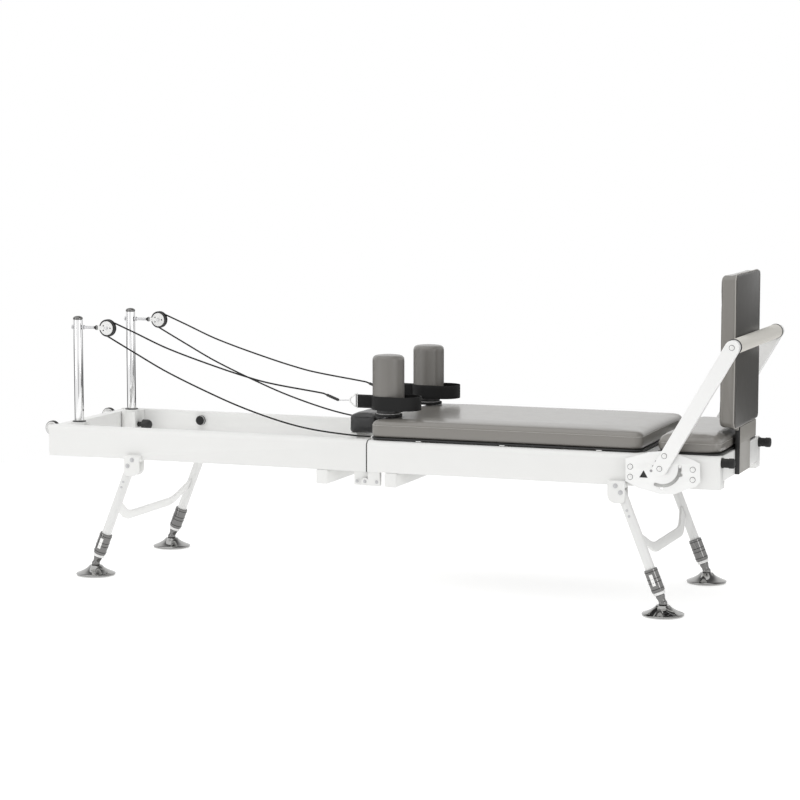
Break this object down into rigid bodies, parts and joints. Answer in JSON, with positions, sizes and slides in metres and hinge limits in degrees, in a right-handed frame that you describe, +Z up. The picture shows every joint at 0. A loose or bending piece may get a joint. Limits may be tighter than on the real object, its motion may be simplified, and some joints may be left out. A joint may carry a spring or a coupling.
{
  "type": "folding pilates reformer",
  "caption": "Folding pilates reformer: white rails hinged in the middle, rolling padded carriage with shoulder rests and straps, pulleys on posts, footbar and jump board.",
  "frame": {"origin": "on the floor under the middle of the object's outer box", "axes": "+X along the rails towards the footbar, +Y across towards the far side, +Z up"},
  "size_m": [2.4812, 0.731, 1.0763],
  "materials": {
    "white_paint": "semi-gloss white powder coat",
    "white_plastic": "satin white moulded plastic",
    "black_plastic": "satin black moulded plastic",
    "black_rubber": "matt black rubber",
    "chrome": "polished chrome plate",
    "dark_chrome": "dark polished chrome plate",
    "steel": "plain zinc-plated steel",
    "grey_vinyl": "fine-grained warm grey upholstery vinyl",
    "black_vinyl": "fine-grained black upholstery vinyl",
    "black_webbing": "stiff black woven webbing",
    "black_rope": "black braided rope",
    "beige_foam": "matt beige-grey foam sleeve",
    "beige_paint": "matt greige powder coat"
  },
  "bodies": {
    "foot_frame": {"foot_rail_near": "white_paint", "foot_rail_far": "white_paint", "foot_end_beam": "white_paint", "foot_cross_tube": "white_paint", "fixed_pad": "grey_vinyl", "spring_bar": "steel", "end_bumper_near": "black_rubber", "end_bumper_far": "black_rubber", "footbar_plate_near": "white_paint", "footbar_plate_far": "white_paint", "spring_1": "steel", "spring_2": "steel", "spring_3": "steel"},
    "pulley_frame": {"pulley_rail_near": "white_paint", "pulley_rail_far": "white_paint", "pulley_end_beam": "white_paint", "pulley_cross_tube": "white_paint", "rope_near": "black_rope", "rope_far": "black_rope"},
    "carriage": {"carriage_frame": "steel", "carriage_pad": "grey_vinyl", "foot_strap_near": "black_webbing", "foot_strap_far": "black_webbing"},
    "headrest": {"headrest_pad": "black_vinyl"},
    "footbar": {"footbar_arm_near": "white_paint", "footbar_arm_far": "white_paint", "footbar_grip": "beige_foam"},
    "jump_board": {"jump_board_pad": "grey_vinyl", "jump_board_bracket": "beige_paint"},
    "foot_end_legs": {"foot_end_leg_near": "white_paint", "foot_end_leg_far": "white_paint", "foot_end_leg_brace": "white_paint"},
    "foot_end_stem_near": {"foot_end_stem_near": "dark_chrome"},
    "foot_end_disc_near": {"foot_end_disc_near": "chrome"},
    "foot_end_stem_far": {"foot_end_stem_far": "dark_chrome"},
    "foot_end_disc_far": {"foot_end_disc_far": "chrome"},
    "pulley_end_legs": {"pulley_end_leg_near": "white_paint", "pulley_end_leg_far": "white_paint", "pulley_end_leg_brace": "white_paint"},
    "pulley_end_stem_near": {"pulley_end_stem_near": "dark_chrome"},
    "pulley_end_disc_near": {"pulley_end_disc_near": "chrome"},
    "pulley_end_stem_far": {"pulley_end_stem_far": "dark_chrome"},
    "pulley_end_disc_far": {"pulley_end_disc_far": "chrome"},
    "post_near": {"post_near": "chrome"},
    "post_knob_near": {"post_knob_near": "black_plastic"},
    "pulley_block_near": {"pulley_block_near": "white_plastic"},
    "pulley_sheave_near": {"pulley_sheave_near": "black_plastic"},
    "transport_wheel_near": {"transport_wheel_near": "white_plastic"},
    "shoulder_rest_near": {"shoulder_rest_near": "grey_vinyl"},
    "carriage_wheel_near_1": {"carriage_wheel_near_1": "black_plastic"},
    "carriage_wheel_near_2": {"carriage_wheel_near_2": "black_plastic"},
    "post_far": {"post_far": "chrome"},
    "post_knob_far": {"post_knob_far": "black_plastic"},
    "pulley_block_far": {"pulley_block_far": "white_plastic"},
    "pulley_sheave_far": {"pulley_sheave_far": "black_plastic"},
    "transport_wheel_far": {"transport_wheel_far": "white_plastic"},
    "shoulder_rest_far": {"shoulder_rest_far": "grey_vinyl"},
    "carriage_wheel_far_1": {"carriage_wheel_far_1": "black_plastic"},
    "carriage_wheel_far_2": {"carriage_wheel_far_2": "black_plastic"}
  },
  "joints": [
    {"name": "frame_fold", "type": "hinge", "parent": "foot_frame", "child": "pulley_frame", "pos_m": [-0.0154, 0, 0.375], "axis": [0, -1, 0], "range_deg": [0, 130]},
    {"name": "carriage_slide", "type": "slide", "parent": "foot_frame", "child": "carriage", "axis": [1, 0, 0], "range_m": [-0.72, 0], "stiffness_N_per_m": 100, "springref_m": 0.05, "deforming": ["spring_1", "spring_2", "spring_3", "rope_near", "rope_far"]},
    {"name": "headrest_tilt", "type": "hinge", "parent": "carriage", "child": "headrest", "pos_m": [-0.0119, 0, 0.5165], "axis": [0, 1, 0], "range_deg": [0, 20]},
    {"name": "footbar_swing", "type": "hinge", "parent": "foot_frame", "child": "footbar", "pos_m": [0.9936, 0, 0.475], "axis": [0, 1, 0], "range_deg": [0, 116]},
    {"name": "jump_board_lift", "type": "slide", "parent": "foot_frame", "child": "jump_board", "axis": [0, 0, 1], "range_m": [0, 0.3]},
    {"name": "foot_end_legs_fold", "type": "hinge", "parent": "foot_frame", "child": "foot_end_legs", "pos_m": [0.8606, 0, 0.384], "axis": [0, 1, 0], "range_deg": [0, 100]},
    {"name": "foot_end_stem_near_level", "type": "slide", "parent": "foot_end_legs", "child": "foot_end_stem_near", "axis": [0.3723, 0, -0.9281], "range_m": [0, 0.02]},
    {"name": "foot_end_disc_near_swivel", "type": "hinge", "parent": "foot_end_stem_near", "child": "foot_end_disc_near", "pos_m": [0.9986, -0.298, 0.04], "axis": [0, 1, 0], "range_deg": [-15, 15]},
    {"name": "foot_end_stem_far_level", "type": "slide", "parent": "foot_end_legs", "child": "foot_end_stem_far", "axis": [0.3723, 0, -0.9281], "range_m": [0, 0.02]},
    {"name": "foot_end_disc_far_swivel", "type": "hinge", "parent": "foot_end_stem_far", "child": "foot_end_disc_far", "pos_m": [0.9986, 0.298, 0.04], "axis": [0, 1, 0], "range_deg": [-15, 15]},
    {"name": "pulley_end_legs_fold", "type": "hinge", "parent": "pulley_frame", "child": "pulley_end_legs", "pos_m": [-0.8714, 0, 0.384], "axis": [0, -1, 0], "range_deg": [0, 100]},
    {"name": "pulley_end_stem_near_level", "type": "slide", "parent": "pulley_end_legs", "child": "pulley_end_stem_near", "axis": [-0.3723, 0, -0.9281], "range_m": [0, 0.02]},
    {"name": "pulley_end_disc_near_swivel", "type": "hinge", "parent": "pulley_end_stem_near", "child": "pulley_end_disc_near", "pos_m": [-1.0094, -0.298, 0.04], "axis": [0, 1, 0], "range_deg": [-15, 15]},
    {"name": "pulley_end_stem_far_level", "type": "slide", "parent": "pulley_end_legs", "child": "pulley_end_stem_far", "axis": [-0.3723, 0, -0.9281], "range_m": [0, 0.02]},
    {"name": "pulley_end_disc_far_swivel", "type": "hinge", "parent": "pulley_end_stem_far", "child": "pulley_end_disc_far", "pos_m": [-1.0094, 0.298, 0.04], "axis": [0, 1, 0], "range_deg": [-15, 15]},
    {"name": "post_near_height", "type": "slide", "parent": "pulley_frame", "child": "post_near", "axis": [0, 0, 1], "range_m": [-0.095, 0]},
    {"name": "post_knob_near_turn", "type": "hinge", "parent": "pulley_frame", "child": "post_knob_near", "pos_m": [-1.1174, -0.2, 0.4636], "axis": [1, 0, 0], "continuous": true},
    {"name": "pulley_near_swivel", "type": "hinge", "parent": "post_near", "child": "pulley_block_near", "pos_m": [-1.0446, -0.2, 0.8474], "axis": [1, 0, 0], "range_deg": [-15, 15]},
    {"name": "sheave_near_spin", "type": "hinge", "parent": "pulley_block_near", "child": "pulley_sheave_near", "pos_m": [-1.002, -0.2, 0.8474], "axis": [0, 1, 0], "continuous": true},
    {"name": "transport_wheel_near_spin", "type": "hinge", "parent": "pulley_frame", "child": "transport_wheel_near", "pos_m": [-1.2158, -0.2115, 0.493], "axis": [0, 1, 0], "continuous": true},
    {"name": "shoulder_rest_near_lift", "type": "slide", "parent": "carriage", "child": "shoulder_rest_near", "axis": [0, 0, 1], "range_m": [0, 0.08]},
    {"name": "carriage_wheel_near_1_spin", "type": "hinge", "parent": "carriage", "child": "carriage_wheel_near_1", "pos_m": [0.1096, -0.24025, 0.4503], "axis": [0, 1, 0], "range_deg": [-2070, 5]},
    {"name": "carriage_wheel_near_2_spin", "type": "hinge", "parent": "carriage", "child": "carriage_wheel_near_2", "pos_m": [0.8246, -0.24025, 0.4503], "axis": [0, 1, 0], "range_deg": [-2070, 5]},
    {"name": "post_far_height", "type": "slide", "parent": "pulley_frame", "child": "post_far", "axis": [0, 0, 1], "range_m": [-0.095, 0]},
    {"name": "post_knob_far_turn", "type": "hinge", "parent": "pulley_frame", "child": "post_knob_far", "pos_m": [-1.1174, 0.2, 0.4636], "axis": [1, 0, 0], "continuous": true},
    {"name": "pulley_far_swivel", "type": "hinge", "parent": "post_far", "child": "pulley_block_far", "pos_m": [-1.0446, 0.2, 0.8474], "axis": [1, 0, 0], "range_deg": [-15, 15]},
    {"name": "sheave_far_spin", "type": "hinge", "parent": "pulley_block_far", "child": "pulley_sheave_far", "pos_m": [-1.002, 0.2, 0.8474], "axis": [0, 1, 0], "continuous": true},
    {"name": "transport_wheel_far_spin", "type": "hinge", "parent": "pulley_frame", "child": "transport_wheel_far", "pos_m": [-1.2158, 0.2115, 0.493], "axis": [0, 1, 0], "continuous": true},
    {"name": "shoulder_rest_far_lift", "type": "slide", "parent": "carriage", "child": "shoulder_rest_far", "axis": [0, 0, 1], "range_m": [0, 0.08]},
    {"name": "carriage_wheel_far_1_spin", "type": "hinge", "parent": "carriage", "child": "carriage_wheel_far_1", "pos_m": [0.1096, 0.24025, 0.4503], "axis": [0, 1, 0], "range_deg": [-2070, 5]},
    {"name": "carriage_wheel_far_2_spin", "type": "hinge", "parent": "carriage", "child": "carriage_wheel_far_2", "pos_m": [0.8246, 0.24025, 0.4503], "axis": [0, 1, 0], "range_deg": [-2070, 5]}
  ],
  "couplings": [
    {"joint": "carriage_wheel_near_1_spin", "follows": "carriage_slide", "rad_per_m": 50},
    {"joint": "carriage_wheel_near_2_spin", "follows": "carriage_slide", "rad_per_m": 50},
    {"joint": "carriage_wheel_far_1_spin", "follows": "carriage_slide", "rad_per_m": 50},
    {"joint": "carriage_wheel_far_2_spin", "follows": "carriage_slide", "rad_per_m": 50}
  ]
}
